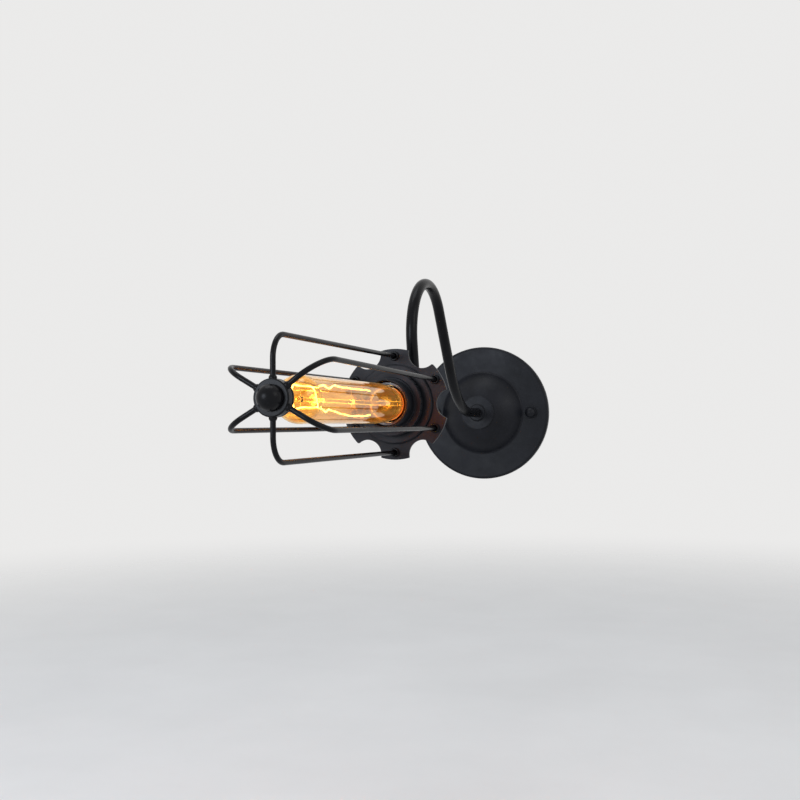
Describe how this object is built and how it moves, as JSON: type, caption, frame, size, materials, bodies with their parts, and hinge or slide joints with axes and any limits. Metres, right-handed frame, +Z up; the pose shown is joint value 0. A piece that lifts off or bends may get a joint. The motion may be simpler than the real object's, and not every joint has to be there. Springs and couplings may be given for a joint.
{
  "type": "cage wall light",
  "caption": "Wall light with a domed round plate, swan-neck arm, tilting lampholder, scalloped disc and a long wire cage round a tube filament lamp.",
  "frame": {"origin": "centre of the wall plate's back edge, on the wall, midway between the two wall screws", "axes": "+Z up, +Y into the wall, the light stands out along -Y, +X to the right seen from the room"},
  "size_m": [0.14, 0.5384, 0.185],
  "materials": {
    "black_powder_coat": "satin",
    "black_gloss_coat": "gloss",
    "zinc_plated_steel": "satin",
    "brass": "satin",
    "white_plastic": "satin",
    "glazed_ceramic": "gloss",
    "flex_sheath": "matte",
    "black_glass": "gloss",
    "solder": "satin",
    "amber_glass": "gloss",
    "stem_glass": "gloss",
    "filament": "glowing",
    "hook_wire": "bare"
  },
  "bodies": {
    "arm": {"wall_plate": "black_powder_coat", "arm_collar": "black_powder_coat", "cap_nuts": "black_powder_coat", "arm_knuckle": "black_powder_coat", "arm_tube": "black_gloss_coat", "pivot_screw": "black_gloss_coat", "pivot_nut": "black_gloss_coat", "mounting_strap": "zinc_plated_steel", "mounting_studs": "zinc_plated_steel", "arm_washer": "zinc_plated_steel", "arm_lock_nut": "zinc_plated_steel", "earth_screw": "brass", "terminal_screws": "brass", "terminal_block": "white_plastic", "arm_flex": "flex_sheath"},
    "head": {"head_knuckle": "black_powder_coat", "holder_nipple": "zinc_plated_steel", "nipple_nut": "zinc_plated_steel", "holder_cup": "black_powder_coat", "holder_sleeve": "black_powder_coat", "holder_core": "glazed_ceramic", "holder_screw_shell": "brass", "holder_contact": "brass", "holder_ring": "black_powder_coat", "head_flex": "flex_sheath", "cage_plate": "black_powder_coat", "plate_boss": "black_powder_coat", "wire_nuts": "black_gloss_coat", "wire_collars": "black_gloss_coat", "cage_hub": "black_gloss_coat", "cage_finial": "black_gloss_coat", "cage_wire_1": "black_gloss_coat", "cage_wire_2": "black_gloss_coat", "cage_wire_3": "black_gloss_coat", "cage_wire_4": "black_gloss_coat", "cage_wire_5": "black_gloss_coat", "cage_wire_6": "black_gloss_coat", "lamp_cap": "brass", "lamp_insulator": "black_glass", "lamp_tip": "solder", "lamp_glass": "amber_glass", "lamp_stem": "stem_glass", "lamp_filament": "filament", "lamp_leads": "hook_wire", "lamp_hooks": "hook_wire"}
  },
  "joints": [
    {"name": "head_tilt", "type": "hinge", "parent": "arm", "child": "head", "pos_m": [0, -0.24641, 0.00433], "axis": [1, 0, 0], "range_deg": [-10, 90]}
  ]
}
